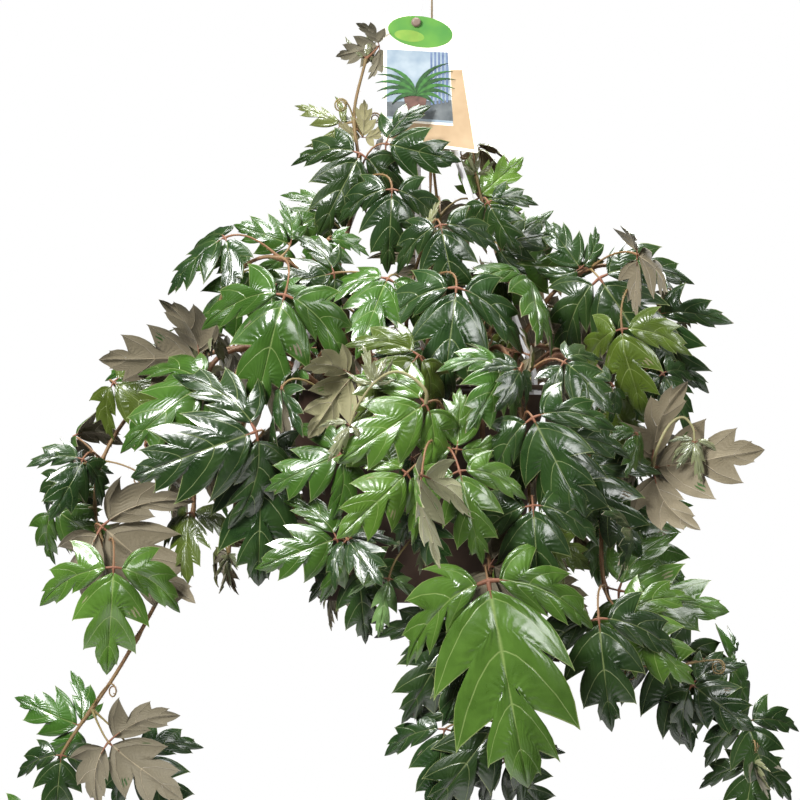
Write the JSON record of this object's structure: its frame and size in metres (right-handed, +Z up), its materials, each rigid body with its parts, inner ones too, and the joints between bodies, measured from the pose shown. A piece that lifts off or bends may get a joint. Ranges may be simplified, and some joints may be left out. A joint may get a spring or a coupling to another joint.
{
  "type": "hanging potted climbing plant",
  "caption": "Grape ivy with three-part lobed leaves on arching and trailing stems, growing in a hanging plastic pot with a three-armed hanger and a plain hang tag.",
  "frame": {"origin": "highest point of the hook's inner side, where the hanging pot rests on whatever holds it", "axes": "+Z up, along the hanger's shank; the front that one looks at faces -Y; +X to the viewer's right"},
  "size_m": [0.4861, 0.3761, 0.5685],
  "materials": {
    "pot_plastic": "satin moulded plastic",
    "peat": "loose fibrous peat potting soil",
    "hanger_plastic": "satin moulded plastic",
    "card": "printed coated card",
    "stud_plastic": "satin moulded plastic",
    "leaf_dark": "glossy living leaf with hairy brown stem",
    "leaf_middle": "glossy living leaf with hairy brown stem",
    "leaf_light": "glossy living leaf with hairy brown stem"
  },
  "bodies": {
    "root": {"pot": "pot_plastic", "soil": "peat", "hanger_hook": "hanger_plastic", "hanger_arm_1": "hanger_plastic", "hanger_arm_2": "hanger_plastic", "hanger_arm_3": "hanger_plastic", "tag": "card", "tag_stud": "stud_plastic", "vine_climber_left": "leaf_dark", "vine_climber_right": "leaf_middle", "vine_shoot": "leaf_light", "vine_climber_back": "leaf_dark", "vine_crown_front": "leaf_middle", "vine_arch_left": "leaf_light", "vine_left_low": "leaf_dark", "vine_front_left": "leaf_middle", "vine_front_middle": "leaf_light", "vine_front_right": "leaf_dark", "vine_trail_middle": "leaf_middle", "vine_arch_right": "leaf_light", "vine_right_low": "leaf_dark", "vine_trail_right": "leaf_middle", "vine_trail_left_high": "leaf_light", "vine_trail_left_low": "leaf_dark", "vine_back_1": "leaf_middle", "vine_back_2": "leaf_light", "vine_back_3": "leaf_dark", "vine_back_4": "leaf_middle", "vine_back_5": "leaf_light", "vine_back_6": "leaf_dark", "vine_back_trail_1": "leaf_middle", "vine_back_trail_2": "leaf_light", "vine_crown_back_left": "leaf_dark", "vine_crown_back_right": "leaf_middle"}
  },
  "joints": []
}
